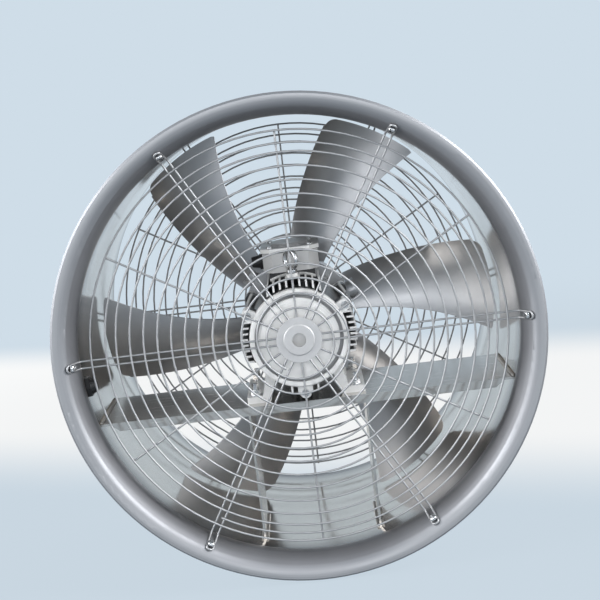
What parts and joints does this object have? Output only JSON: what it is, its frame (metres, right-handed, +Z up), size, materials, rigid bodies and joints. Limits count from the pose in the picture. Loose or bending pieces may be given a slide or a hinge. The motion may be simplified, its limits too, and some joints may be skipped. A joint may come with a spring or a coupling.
{
  "type": "axial duct fan",
  "caption": "Axial duct fan: short round casing with bellmouth ends, a finned motor on a bridge plate, a twisted-blade impeller and spiral wire guards.",
  "frame": {"origin": "on the fan's axis, halfway along the casing", "axes": "+Y along the fan's axis from the motor side to the impeller side, +Z up, +X to the right seen from the motor side"},
  "size_m": [0.662, 0.43, 0.6618],
  "materials": {
    "stainless_sheet": "spun, satin bright",
    "stainless_plate": "sheared and folded",
    "motor_paint": "silver-grey paint over castings",
    "core_steel": "stacked laminations",
    "winding": "varnished copper wire",
    "rubber": "matt",
    "black_plastic": "moulded",
    "brass": "turned",
    "guard_wire": "welded bright wire",
    "cast_aluminium": "cast, lightly blasted",
    "steel": "zinc plated or ground"
  },
  "bodies": {
    "housing": {"casing": "stainless_sheet", "motor_base_plate": "stainless_plate", "strut_left": "stainless_plate", "strut_right": "stainless_plate", "motor_frame": "motor_paint", "motor_foot_left": "motor_paint", "motor_foot_right": "motor_paint", "end_shield_front": "motor_paint", "end_shield_rear": "motor_paint", "end_shield_bolts": "steel", "stator_core": "core_steel", "stator_winding_front": "winding", "stator_winding_rear": "winding", "bearing_outer_rings": "steel", "wave_washer": "steel", "shaft_seal": "rubber", "terminal_box": "motor_paint", "terminal_box_gasket": "rubber", "terminal_box_lid": "motor_paint", "terminal_box_lid_screws": "steel", "terminal_block": "black_plastic", "terminal_studs": "brass", "lifting_eye": "steel", "terminal_gland_body": "black_plastic", "terminal_gland_cap": "black_plastic", "wall_gland_body": "black_plastic", "wall_gland_cap": "black_plastic", "gland_locknuts": "black_plastic", "foot_bolts": "steel", "foot_washers": "steel", "foot_nuts": "steel", "front_guard_spiral": "guard_wire", "front_guard_arms": "guard_wire", "front_guard_spokes": "guard_wire", "rear_guard_spiral": "guard_wire", "rear_guard_arms": "guard_wire", "rear_guard_spokes": "guard_wire", "guard_discs": "guard_wire", "guard_screws": "steel", "guard_nuts": "steel"},
    "rotor": {"rotor_shaft": "steel", "rotor_core": "core_steel", "shaft_key": "steel", "bearing_inner_rings": "steel", "impeller_hub": "cast_aluminium", "hub_clamp_ring": "cast_aluminium", "hub_bolts": "steel", "hub_end_washer": "steel", "hub_end_screw": "steel", "blade_1": "cast_aluminium", "blade_2": "cast_aluminium", "blade_3": "cast_aluminium", "blade_4": "cast_aluminium", "blade_5": "cast_aluminium", "blade_6": "cast_aluminium"}
  },
  "joints": [
    {"name": "rotor_spin", "type": "hinge", "parent": "housing", "child": "rotor", "pos_m": [0, 0.048, 0], "axis": [0, 1, 0], "continuous": true}
  ]
}
